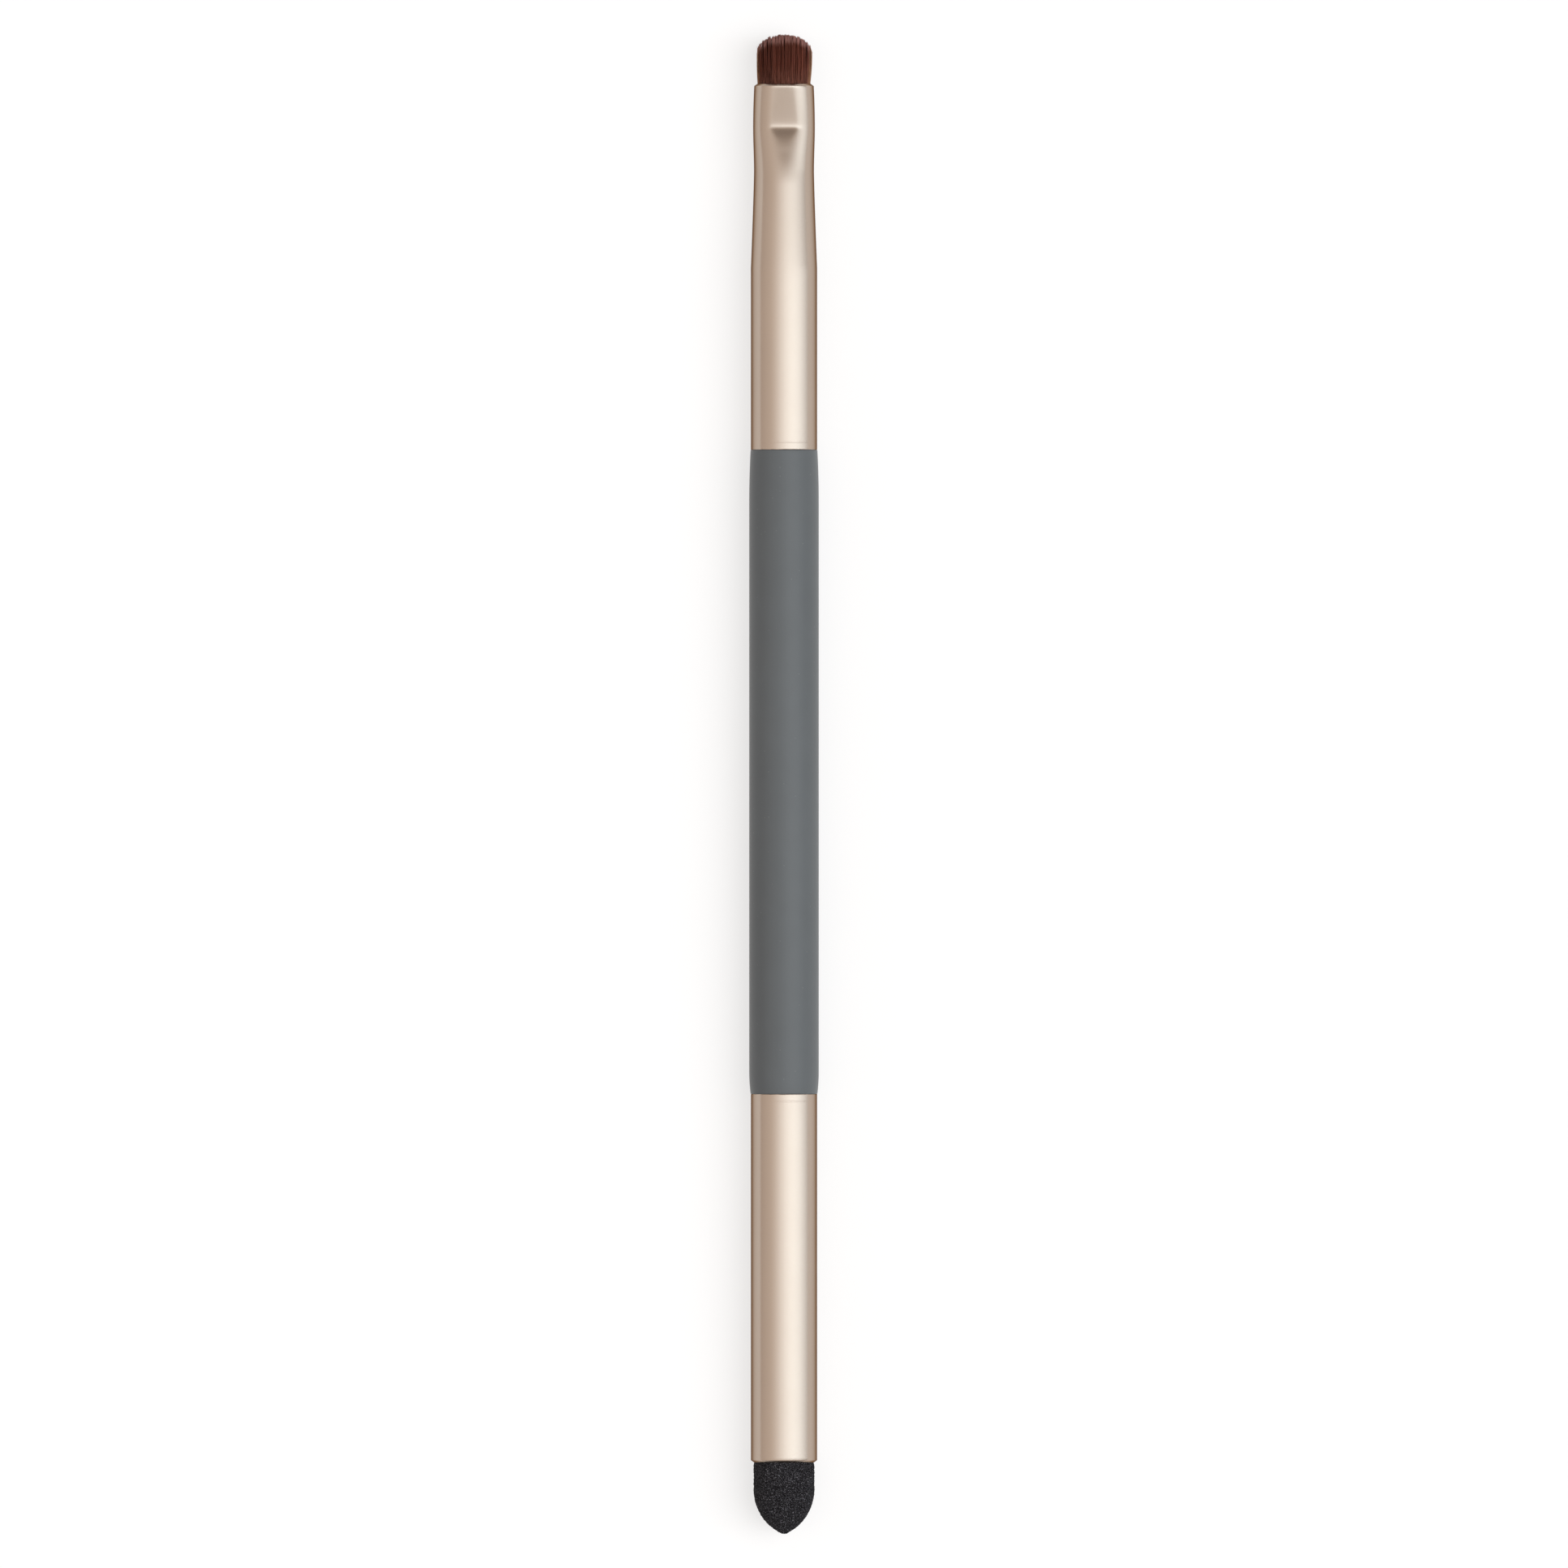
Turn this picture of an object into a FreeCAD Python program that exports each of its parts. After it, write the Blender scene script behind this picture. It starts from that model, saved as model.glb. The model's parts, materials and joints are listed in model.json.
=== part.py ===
import FreeCAD, Part
import math
import os

# Double-ended eyeshadow brush: a short bristle tuft in a pinched ferrule at one end, a pointed foam
# tip in a round ferrule at the other, and one turned handle between them. Sizes are in millimetres.
# The brush is held level along Y, with its bristle end at +Y and the pinched dents facing up and down.
# The origin is on the axis, in the middle of the straight part of the grip.

Vector = FreeCAD.Vector

# Tube that both ferrules are drawn from
TUBE_DIAMETER = 7.0
TUBE_WALL = 0.25
LIP_DEPTH = 0.35  # length of the edge that is rolled in at each mouth
LIP_ROLL = 0.25  # how far that edge comes in from the outside
LIP_EDGE = 0.05  # blunt end of the rolled edge

# Brush ferrule, zone by zone from its mouth to the grip
PRESS_LENGTH = 4.65  # from the mouth back to the crease that the jaws leave
SCOOP_LENGTH = 4.6  # from the crease back out to the neck
TAPER_LENGTH = 10.2  # neck opening out to the round tube
SOCKET_LENGTH = 19.2  # round tube that takes the tenon
MOUTH_WIDTH = 6.28
MOUTH_THICKNESS = 5.75
CREASE_WIDTH = 6.53
CREASE_THICKNESS = 5.25
NECK_WIDTH = 6.34
NECK_THICKNESS = 6.4

# Foam ferrule
FOAM_FERRULE_LENGTH = 38.9

# Grip of the handle, between the two ferrules
GRIP_LENGTH = 68.0
SHOULDER_PROUD = 0.03  # step from the ferrule up to the grip's shoulder
GRIP_SWELL = 0.145  # rise from the shoulder to the full grip
BRUSH_END_EASE = 5.5  # length of that rise at each end
FOAM_END_EASE = 2.4

# Tenons of the handle, with grooves for the glue that holds the ferrules
TENON_GAP = 0.04
TENON_SETBACK = 3.0  # the brush tenon stops this far short of the taper
TENON_CHAMFER = 0.5
GROOVE_WIDTH = 1.6
GROOVE_DEPTH = 0.35
GROOVE_COUNT = 3

# Bristle tuft, its binding and the glue behind it
TUFT_STRAIGHT = 3.15  # from the mouth to the start of the dome
TUFT_DOME = 2.15
TUFT_SPREAD = 0.11  # how far the tuft swells past the mouth all round
TUFT_SWELL_LENGTH = 0.8
ROOT_LENGTH = 2.4  # bound root behind the neck
BINDING_WIDTH = 1.2
BINDING_THICKNESS = 0.25
BINDING_COVER = 0.2  # glue between the binding and the neck
PLUG_COVER = 2.6  # glue behind the root

# Foam tip and the stem that carries it
FOAM_STEP = 0.255  # step in from the tube to the foam
FOAM_SWELL_LENGTH = 0.4  # length over which the foam swells after the mouth
FOAM_STRAIGHT = 2.9  # from the mouth to the start of the point
FOAM_POINT_LENGTH = 4.7
FOAM_TIP_RADIUS = 0.8
FOAM_ROOT_LENGTH = 8.0  # foam inside the ferrule
FOAM_COVER = 5.6  # foam left between the stem and the tip
STEM_PLUG_LENGTH = 10.0
STEM_PEG_DIAMETER = 2.4
STEM_BARB_HEIGHT = 0.2
STEM_BARB_LENGTH = 0.9
STEM_BARB_COUNT = 3

FIT_GAP = 0.03  # around glued and packed pieces inside the ferrules

# Forms of the pressed and tapered tube
ELLIPSE = 2  # exponent of an oval that is an ellipse; more is squarer
MOUTH_SQUARENESS = 2.5
CREASE_SQUARENESS = 2.5
TAPER_FLARE = 1.5  # exponent of the taper's curve; 1 is a straight cone
OVAL_POINTS = 32
ZONE_STEPS = 4
ARC = "arc"  # marks an outline point that lies on an arc between its neighbours

# Radii and sections that follow
tube_radius = TUBE_DIAMETER / 2
bore_radius = tube_radius - TUBE_WALL
packed_inset = TUBE_WALL + FIT_GAP
packed_radius = tube_radius - packed_inset
lip_inset = LIP_ROLL + LIP_EDGE
packed_lip = lip_inset + FIT_GAP
shoulder_radius = tube_radius + SHOULDER_PROUD
grip_radius = shoulder_radius + GRIP_SWELL
tenon_radius = bore_radius - TENON_GAP
groove_radius = tenon_radius - GROOVE_DEPTH
opening_width = MOUTH_WIDTH - 2 * packed_lip
opening_thickness = MOUTH_THICKNESS - 2 * packed_lip
tuft_width = opening_width + 2 * TUFT_SPREAD
tuft_thickness = opening_thickness + 2 * TUFT_SPREAD
root_inset = packed_inset + BINDING_COVER + BINDING_THICKNESS
root_width = NECK_WIDTH - 2 * root_inset
root_thickness = NECK_THICKNESS - 2 * root_inset
peg_radius = STEM_PEG_DIAMETER / 2
foam_radius = tube_radius - FOAM_STEP
tip_setback = FOAM_POINT_LENGTH - FOAM_TIP_RADIUS
point_radius = (tip_setback**2 + foam_radius**2 - FOAM_TIP_RADIUS**2) / (2 * (foam_radius - FOAM_TIP_RADIUS))

# Lengths that follow
tuft_reach = TUFT_STRAIGHT + TUFT_DOME
foam_reach = FOAM_STRAIGHT + FOAM_POINT_LENGTH
brush_tenon_length = SOCKET_LENGTH - TENON_SETBACK
foam_tenon_length = FOAM_FERRULE_LENGTH - FOAM_ROOT_LENGTH - STEM_PLUG_LENGTH - FIT_GAP
peg_length = FOAM_ROOT_LENGTH + foam_reach - FOAM_COVER
straight_grip = GRIP_LENGTH - BRUSH_END_EASE - FOAM_END_EASE

# Places along the axis, counted from the middle of the straight grip towards the bristles
brush_joint = straight_grip / 2 + BRUSH_END_EASE
taper_end = brush_joint + SOCKET_LENGTH
neck = taper_end + TAPER_LENGTH
crease = neck + SCOOP_LENGTH
brush_mouth = crease + PRESS_LENGTH
bristle_end = brush_mouth + tuft_reach
foam_joint = brush_joint - GRIP_LENGTH
foam_mouth = foam_joint - FOAM_FERRULE_LENGTH
stem_face = foam_mouth + FOAM_ROOT_LENGTH
foam_end = foam_mouth - foam_reach


def between(start, end, share):
    """Value a given share of the way from start to end."""
    return start + (end - start) * share


def oval(width, thickness, squareness, along):
    """Closed superellipse across the axis."""
    points = []
    for step in range(OVAL_POINTS):
        angle = 2 * math.pi * step / OVAL_POINTS
        across = abs(2 * math.cos(angle) / width) ** squareness
        through = abs(2 * math.sin(angle) / thickness) ** squareness
        reach = (across + through) ** (-1 / squareness)
        points.append(Vector(reach * math.cos(angle), reach * math.sin(angle), along))
    curve = Part.BSplineCurve()
    curve.interpolate(Points=points, PeriodicFlag=True)
    return Part.Wire([curve.toShape()])


def loft(*sections):
    """Solid through two sections straight, or through more of them smoothly."""
    return Part.makeLoft(list(sections), True, len(sections) == 2)


def turned(outline):
    """Solid of revolution about the axis from an outline of (radius, along) corners and ARC points."""
    points = [Vector(item[0], 0, item[1]) for item in outline]
    bends = [ARC in item for item in outline]
    edges = []
    for index, point in enumerate(points):
        after = (index + 1) % len(points)
        if bends[index]:
            edges.append(Part.Arc(points[index - 1], point, points[after]).toShape())
        elif not bends[after]:
            edges.append(Part.LineSegment(point, points[after]).toShape())
    return Part.Face(Part.Wire(edges)).revolve(Vector(0, 0, 0), Vector(0, 0, 1), 360)


def slab(low, high):
    """Block across the brush ferrule between two places along the axis."""
    widths = (TUBE_DIAMETER, MOUTH_WIDTH, CREASE_WIDTH, NECK_WIDTH)
    across = 2 * max(*widths, MOUTH_THICKNESS, CREASE_THICKNESS, NECK_THICKNESS)
    return Part.makeBox(across, across, high - low, Vector(-across / 2, -across / 2, low))


def ferrule_core(inset, lip):
    """Outside of the brush ferrule as a solid, drawn in all round by inset, and by lip at its rolled edge."""

    def pressed(draw_in, along):
        return oval(MOUTH_WIDTH - 2 * draw_in, MOUTH_THICKNESS - 2 * draw_in, MOUTH_SQUARENESS, along)

    def scooped(share):
        depth = (1 - share) ** 2
        width = between(NECK_WIDTH, CREASE_WIDTH, depth) - 2 * inset
        thickness = between(NECK_THICKNESS, CREASE_THICKNESS, depth) - 2 * inset
        squareness = between(ELLIPSE, CREASE_SQUARENESS, depth)
        return oval(width, thickness, squareness, between(crease, neck, share))

    def tapered(share):
        flare = share**TAPER_FLARE
        width = between(NECK_WIDTH, TUBE_DIAMETER, flare) - 2 * inset
        thickness = between(NECK_THICKNESS, TUBE_DIAMETER, flare) - 2 * inset
        return oval(width, thickness, ELLIPSE, between(neck, taper_end, share))

    edge = pressed(lip, brush_mouth)
    mouth = pressed(inset, brush_mouth - LIP_DEPTH)
    scoop = [scooped(step / ZONE_STEPS) for step in range(ZONE_STEPS)]
    taper = [tapered(step / ZONE_STEPS) for step in range(ZONE_STEPS + 1)]
    tube = oval(TUBE_DIAMETER - 2 * inset, TUBE_DIAMETER - 2 * inset, ELLIPSE, brush_joint)
    core = loft(edge, mouth)
    for zone in (loft(mouth, scoop[0]), loft(*scoop, *taper), loft(taper[-1], tube)):
        core = core.fuse(zone)
    return core


def brush_ferrule():
    """Drawn tube, tapered, pinched behind its mouth and rolled in at the edge."""
    return ferrule_core(0, LIP_ROLL).cut(ferrule_core(TUBE_WALL, lip_inset))


def foam_ferrule():
    """Round drawn tube, rolled in at its mouth."""
    return turned(
        [
            (tube_radius, foam_joint),
            (tube_radius, foam_mouth + LIP_DEPTH),
            (tube_radius - LIP_ROLL, foam_mouth),
            (tube_radius - lip_inset, foam_mouth),
            (bore_radius, foam_mouth + LIP_DEPTH),
            (bore_radius, foam_joint),
        ]
    )


def grooves(joint, length):
    """Glue grooves along a tenon, as (near, far) places; length is signed, away from the grip."""
    side = math.copysign(GROOVE_WIDTH / 2, length)
    middles = [joint + length * (count + 1) / (GROOVE_COUNT + 1) for count in range(GROOVE_COUNT)]
    return [(middle - side, middle + side) for middle in middles]


def handle_end(joint, length, ease):
    """Outline of one end of the handle from the full grip to the tenon's nose; lengths are signed."""
    ease_radius = (GRIP_SWELL**2 + ease**2) / (2 * GRIP_SWELL)
    half_turn = math.asin(ease / ease_radius) / 2
    ease_middle = grip_radius - ease_radius * (1 - math.cos(half_turn))
    nose = joint + length
    outline = [
        (grip_radius, joint - ease),
        (ease_middle, joint - ease + ease_radius * math.sin(half_turn), ARC),
        (shoulder_radius, joint),
        (tenon_radius, joint),
    ]
    for near, far in grooves(joint, length):
        outline += [(tenon_radius, near), (groove_radius, near), (groove_radius, far), (tenon_radius, far)]
    outline += [
        (tenon_radius, nose - math.copysign(TENON_CHAMFER, length)),
        (tenon_radius - TENON_CHAMFER, nose),
        (0, nose),
    ]
    return outline


def handle():
    """Turned handle: the grip and a grooved tenon at each end."""
    brush_half = handle_end(brush_joint, brush_tenon_length, BRUSH_END_EASE)
    foam_half = handle_end(foam_joint, -foam_tenon_length, -FOAM_END_EASE)
    return turned(brush_half + foam_half[::-1])


def tenon_glue(joint, length):
    """Rings of set glue in a tenon's grooves, out to the ferrule."""
    rings = []
    for near, far in grooves(joint, length):
        section = [(groove_radius, near), (packed_radius, near), (packed_radius, far), (groove_radius, far)]
        rings.append(turned(section))
    return Part.makeCompound(rings)


def tuft_head():
    """Bristles outside the ferrule: a column that swells from the mouth and ends in a dome."""
    mouth_share = min((opening_width - FIT_GAP) / tuft_width, (opening_thickness - FIT_GAP) / tuft_thickness)
    straight = TUFT_STRAIGHT / TUFT_DOME
    diagonal = math.sqrt(0.5)
    unit_head = turned(
        [
            (0, -LIP_DEPTH / TUFT_DOME),
            (mouth_share, -LIP_DEPTH / TUFT_DOME),
            (mouth_share, 0),
            (1, TUFT_SWELL_LENGTH / TUFT_DOME),
            (1, straight),
            (diagonal, straight + diagonal, ARC),
            (0, straight + 1),
        ]
    )
    stretch = FreeCAD.Matrix()
    stretch.scale(tuft_width / 2, tuft_thickness / 2, TUFT_DOME)
    stretch.move(Vector(0, 0, brush_mouth))
    return unit_head.transformGeometry(stretch)


def root_column(grow, low, high):
    """Length of the bound root between two places, grown all round."""
    ends = [oval(root_width + 2 * grow, root_thickness + 2 * grow, ELLIPSE, place) for place in (low, high)]
    return loft(*ends)


def bristle_tuft():
    """Bristles from their bound root, through the pinch and the mouth, to the dome."""
    packed = ferrule_core(packed_inset, packed_lip).common(slab(neck, bristle_end))
    return packed.fuse([tuft_head(), root_column(0, neck - ROOT_LENGTH, neck)])


def tuft_binding():
    """Thread wound round the middle of the root."""
    low = neck - (ROOT_LENGTH + BINDING_WIDTH) / 2
    high = low + BINDING_WIDTH
    return root_column(BINDING_THICKNESS, low, high).cut(root_column(0, low, high))


def tuft_glue_plug():
    """Set glue that fills the ferrule round the root and behind it."""
    filling = ferrule_core(packed_inset, packed_lip).common(slab(neck - ROOT_LENGTH - PLUG_COVER, neck))
    return filling.cut([bristle_tuft(), tuft_binding()])


def foam_stem(gap=0):
    """Moulded stem: a plug in the ferrule and a barbed peg in the foam. A gap makes the peg's socket."""
    nose_centre = stem_face - peg_length + peg_radius
    back = stem_face + STEM_PLUG_LENGTH
    radius = peg_radius + gap
    diagonal = radius * math.sqrt(0.5)
    outline = [(0, back), (packed_radius, back), (packed_radius, stem_face), (radius, stem_face)]
    for count in range(STEM_BARB_COUNT):
        barb = between(stem_face, nose_centre, (count + 1) / (STEM_BARB_COUNT + 1))
        outline.append((radius, barb + gap))
        outline.append((radius + STEM_BARB_HEIGHT, barb + gap))
        outline.append((radius, barb - STEM_BARB_LENGTH))
    outline.append((radius, nose_centre))
    outline.append((diagonal, nose_centre - diagonal, ARC))
    outline.append((0, nose_centre - radius))
    return turned(outline)


def foam_tip():
    """Foam bullet, squeezed by the rolled lip, with a blind socket for the peg."""
    point = foam_mouth - FOAM_STRAIGHT
    tip_centre = point - tip_setback
    point_turn = math.atan2(tip_setback, point_radius - foam_radius)
    tip_turn = (point_turn + math.pi / 2) / 2

    def on_point(turn):
        return foam_radius - point_radius * (1 - math.cos(turn)), point - point_radius * math.sin(turn)

    def on_tip(turn):
        return FOAM_TIP_RADIUS * math.cos(turn), tip_centre - FOAM_TIP_RADIUS * math.sin(turn)

    bullet = turned(
        [
            (0, stem_face),
            (packed_radius, stem_face),
            (packed_radius, foam_mouth + LIP_DEPTH),
            (tube_radius - packed_lip, foam_mouth),
            (foam_radius, foam_mouth - FOAM_SWELL_LENGTH),
            (foam_radius, point),
            (*on_point(point_turn / 2), ARC),
            on_point(point_turn),
            (*on_tip(tip_turn), ARC),
            (0, tip_centre - FOAM_TIP_RADIUS),
        ]
    )
    return bullet.cut(foam_stem(FIT_GAP))


def level(shape):
    """Turns the axis from +Z to +Y."""
    turned_shape = shape.copy()
    turned_shape.rotate(Vector(0, 0, 0), Vector(1, 0, 0), -90)
    return turned_shape


NODES = {
    "handle": handle(),
    "brush_ferrule": brush_ferrule(),
    "bristle_tuft": bristle_tuft(),
    "tuft_binding": tuft_binding(),
    "tuft_glue_plug": tuft_glue_plug(),
    "brush_end_glue": tenon_glue(brush_joint, brush_tenon_length),
    "foam_ferrule": foam_ferrule(),
    "foam_tip": foam_tip(),
    "foam_stem": foam_stem(),
    "foam_end_glue": tenon_glue(foam_joint, -foam_tenon_length),
}

os.makedirs("parts", exist_ok=True)
for node, shape in NODES.items():
    level(shape).exportStep(f"parts/{node}.step")
    print(f"{node}: {len(shape.Solids)} solid, {shape.Volume:.2f} mm3, valid {shape.isValid()}")
print(f"length {bristle_end - foam_end:.2f} mm, straight grip {straight_grip:.2f} x {2 * grip_radius:.2f} mm")
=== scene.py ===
import json
import math

import bmesh
import bpy
from bpy.props import FloatProperty, FloatVectorProperty, IntProperty, PointerProperty
from bpy.types import Operator, Panel, PropertyGroup
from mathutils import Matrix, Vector, noise


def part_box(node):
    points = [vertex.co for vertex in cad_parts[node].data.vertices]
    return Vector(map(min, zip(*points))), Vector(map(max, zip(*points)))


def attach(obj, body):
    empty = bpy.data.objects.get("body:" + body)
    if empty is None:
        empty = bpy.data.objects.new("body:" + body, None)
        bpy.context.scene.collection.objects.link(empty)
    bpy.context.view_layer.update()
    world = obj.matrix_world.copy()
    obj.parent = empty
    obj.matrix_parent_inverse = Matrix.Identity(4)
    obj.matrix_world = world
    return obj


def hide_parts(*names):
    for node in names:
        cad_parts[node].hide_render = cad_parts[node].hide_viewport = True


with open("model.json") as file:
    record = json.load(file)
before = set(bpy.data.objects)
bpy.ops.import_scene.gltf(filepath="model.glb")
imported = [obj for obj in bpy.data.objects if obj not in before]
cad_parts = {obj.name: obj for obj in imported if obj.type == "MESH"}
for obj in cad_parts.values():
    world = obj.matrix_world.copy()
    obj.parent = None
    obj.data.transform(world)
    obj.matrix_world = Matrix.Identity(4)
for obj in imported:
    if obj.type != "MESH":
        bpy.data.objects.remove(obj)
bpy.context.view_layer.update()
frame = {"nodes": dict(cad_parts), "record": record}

bl_info = {
    "name": "Double-ended eyeshadow brush",
    "version": (1, 0, 0),
    "blender": (4, 5, 0),
    "location": "View3D > Sidebar > Eye brush",
    "description": "Makes the grip, ferrules, bristles and foam tip of a double-ended eyeshadow brush",
    "category": "Add Mesh",
}

MM = 0.001
BODY = "root"

# Places along the brush's axis, which is Y, and radii, all read from the frame
GRIP = frame["record"]["mounts"][0]["dims"]
GRIP_RADIUS = GRIP["r_mm"] * MM
STRAIGHT_GRIP = GRIP["length_mm"] * MM
FOAM_TENON, BRUSH_TENON = (corner.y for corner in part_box("handle"))
BRUSH_JOINT, BRUSH_MOUTH = (corner.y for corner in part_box("brush_ferrule"))
FOAM_MOUTH, FOAM_JOINT = (corner.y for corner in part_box("foam_ferrule"))
BRISTLE_ROOT, BRISTLE_END = (corner.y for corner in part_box("bristle_tuft"))
FOAM_END, FOAM_ROOT = (corner.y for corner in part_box("foam_tip"))
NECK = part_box("tuft_glue_plug")[1].y
PEG_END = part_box("foam_stem")[0].y
TUBE_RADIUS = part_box("foam_ferrule")[1].x

# Exponents of the taper's width, where 1 is straight, and of the tuft's dome, where 0.5 is an ellipse
TAPER_FLARE, DOME_FLARE = 1.2, 0.4

# Stretch of a ferrule beside the grip with finer rings, and how far short of the sawn edge it stops
EDGE_ZONE, EDGE_GAP = 1.2 * MM, 0.15 * MM

# Sides of the turned grip and of the ferrules, and how much coarser hidden foam is divided
GRIP_SIDES, FERRULE_SIDES, HIDDEN_COARSENESS = 128, 200, 10

# Radius that stands for a point on the axis, and distance at which two points are one
LEAST_RADIUS, SAME_PLACE = 1e-9, 1e-7

# Places that the bristles carry only while they are shaped
STRAND_PLACES = ("root", "mouth", "tip", "bow")

# Indices of sockets that share their names: a Mix node's colours and vectors, a Map Range node's limits
COLOUR_A, COLOUR_B, COLOUR_OUT = 6, 7, 2
VECTOR_A, VECTOR_B, VECTOR_OUT = 4, 5, 1
FROM_MIN, FROM_MAX, TO_MIN, TO_MAX = 1, 2, 3, 4


def linear(code):
    """Linear colour of an sRGB hex code."""
    shares = [int(code[start : start + 2], 16) / 255 for start in (1, 3, 5)]
    return tuple(s / 12.92 if s <= 0.04045 else ((s + 0.055) / 1.055) ** 2.4 for s in shares)


def length(name, description, default):
    """Property for a size in metres."""
    return FloatProperty(name=name, description=description, default=default, unit="LENGTH", precision=5)


def colour(name, description, code):
    """Property for a colour, given as an sRGB hex code."""
    return FloatVectorProperty(name=name, description=description, default=linear(code), subtype="COLOR")


def number(name, description, default):
    """Property for a plain number."""
    return FloatProperty(name=name, description=description, default=default)


class GripSettings(PropertyGroup):
    """Turned handle."""

    shoulder_radius: length("Shoulder radius", "Radius where the grip meets a ferrule", 3.53 * MM)
    tenon_radius: length("Tenon radius", "Radius of the tenons inside the ferrules", 3.21 * MM)
    groove_depth: length("Groove depth", "Depth of the glue grooves in the tenons", 0.35 * MM)
    groove_width: length("Groove width", "Width of the glue grooves in the tenons", 1.6 * MM)
    groove_count: IntProperty(name="Grooves", description="Glue grooves in each tenon", default=3, min=1)
    rounding: length("Rounding", "Rounding that the lacquer leaves on edges", 0.06 * MM)
    lacquer: colour("Lacquer", "Matte grey of the grip", "#595e61")


class FerruleSettings(PropertyGroup):
    """Both drawn metal tubes."""

    wall: length("Wall", "Wall of the tube", 0.25 * MM)
    lip_depth: length("Lip depth", "Length of the edge that is rolled in at a mouth", 0.22 * MM)
    lip_roll: length("Lip roll", "How far that edge comes in", 0.29 * MM)
    lip_edge: length("Lip edge", "Blunt end of the rolled edge", 0.03 * MM)
    press_length: length("Press length", "From the mouth back to the crease that the jaws left", 4.65 * MM)
    press_fade: length("Press fade", "From the crease back to where the section is round again", 5.8 * MM)
    scoop_length: length("Scoop length", "From the crease back to where the dents run out", 2.3 * MM)
    taper_length: length("Taper length", "Neck opening out to the round tube", 10.2 * MM)
    taper_rounding: length("Taper rounding", "Softness of the taper's end, seen from the side", 3.5 * MM)
    mouth_width: length("Mouth width", "Width of the mouth", 6.28 * MM)
    mouth_thickness: length("Mouth thickness", "Thickness of the mouth without its dents", 6.4 * MM)
    mouth_dent: length("Mouth dent", "Depth of each dent at the mouth", 0.05 * MM)
    crease_width: length("Crease width", "Width at the crease", 6.53 * MM)
    crease_thickness: length("Crease thickness", "Thickness at the crease without its dents", 5.95 * MM)
    crease_dent: length("Crease dent", "Depth of each dent at the crease", 0.16 * MM)
    press_rounding: length("Press rounding", "Softness of the press round the crease", 0.25 * MM)
    crease_rounding: length("Crease rounding", "Softness of the crease", 0.028 * MM)
    dent_radius: length("Dent radius", "Radius across the brush of a dent's floor", 30 * MM)
    dent_rounding: length("Dent rounding", "Softness of a dent's edges", 0.028 * MM)
    squareness: number("Squareness", "Exponent of the pressed oval; 2 is round", 2.4)
    neck_width: length("Neck width", "Width of the neck", 6.34 * MM)
    neck_thickness: length("Neck thickness", "Thickness of the neck", 6.62 * MM)
    ragged: length("Ragged edge", "Unevenness of the sawn edge beside the grip", 0.03 * MM)
    metal: colour("Metal", "Pale champagne of the anodised tube", "#b8a89a")


class TuftSettings(PropertyGroup):
    """Bristles."""

    half_width: length("Half width", "Half the width of the tuft", 2.92 * MM)
    half_thickness: length("Half thickness", "Half the thickness of the tuft", 2.87 * MM)
    spread: length("Spread", "How far the tuft swells past the mouth all round", 0.1 * MM)
    root_radius: length("Root radius", "Radius of the bound root", 2.45 * MM)
    dome: length("Dome", "Height of the domed end", 2.15 * MM)
    crown: number("Crown", "Fall of the dome to front and back, beside its sides", 0.5)
    spacing: length("Spacing", "Least distance between bristles", 0.06 * MM)
    hair_radius: length("Bristle radius", "Radius of one bristle", 0.037 * MM)
    clump: length("Clump", "Width of the clumps that the tips are drawn into", 0.34 * MM)
    clump_depth: number("Clump depth", "Depth of a clump over its width", 3)
    clump_fall: length("Clump fall", "How far a whole clump may fall short of the dome", 0.2 * MM)
    drawn: number("Drawn", "How far the tips are drawn into their clumps", 0.66)
    stray: length("Stray", "How far a bristle leans on its own", 0.08 * MM)
    uneven: length("Uneven", "How far a tip falls short of the dome", 0.2 * MM)
    seed: IntProperty(name="Seed", description="Seed of the bristles' places and tones", default=7)
    root: colour("Root", "Colour at the ferrule", "#784b3d")
    middle: colour("Middle", "Colour half way up", "#693729")
    tip: colour("Tip", "Colour of the tips", "#a87870")
    # Painted highlight: the tan that the bristles at the tuft's sides are painted, as if they caught more
    # light
    edge: colour("Edge", "Tan of the bristles at the sides", "#b98d69")


class FoamSettings(PropertyGroup):
    """Pointed foam tip."""

    radius: length("Radius", "Radius of the foam", 3.245 * MM)
    straight: length("Straight", "From the mouth to the start of the point", 2.9 * MM)
    tip_radius: length("Tip radius", "Radius of the rounded tip", 0.8 * MM)
    swell_length: length("Swell", "Length over which the foam swells after the mouth", 0.4 * MM)
    peg_radius: length("Socket radius", "Radius of the blind socket for the stem", 1.23 * MM)
    cell: length("Cell", "Width of a foam cell", 0.12 * MM)
    relief: length("Relief", "Depth of the cells", 0.12 * MM)
    foam: colour("Foam", "Charcoal of the cell walls", "#0f0e11")
    # Painted highlight: colour of the struts that are painted as if they catch light
    strut_highlight: colour("Fleck", "Grey of the struts that catch light", "#66666b")


class StageSettings(PropertyGroup):
    """Floor, lights and camera."""

    lens: number("Lens", "Focal length in millimetres", 1000)
    margin: number("Margin", "Frame over the brush's length", 1.045)
    key: number("Key", "Strength of the soft lamp", 1.9)
    strip: number("Strip", "Brightness of the strip of light over the brush", 3.0)
    floor: colour("Floor", "Grey of the floor under its glow", "#959595")
    floor_glow: number("Floor glow", "Light that the floor adds for the eye", 0.68)


class BrushSettings(PropertyGroup):
    """All settings of the brush."""

    grip: PointerProperty(type=GripSettings)
    ferrule: PointerProperty(type=FerruleSettings)
    tuft: PointerProperty(type=TuftSettings)
    foam: PointerProperty(type=FoamSettings)
    stage: PointerProperty(type=StageSettings)


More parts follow.
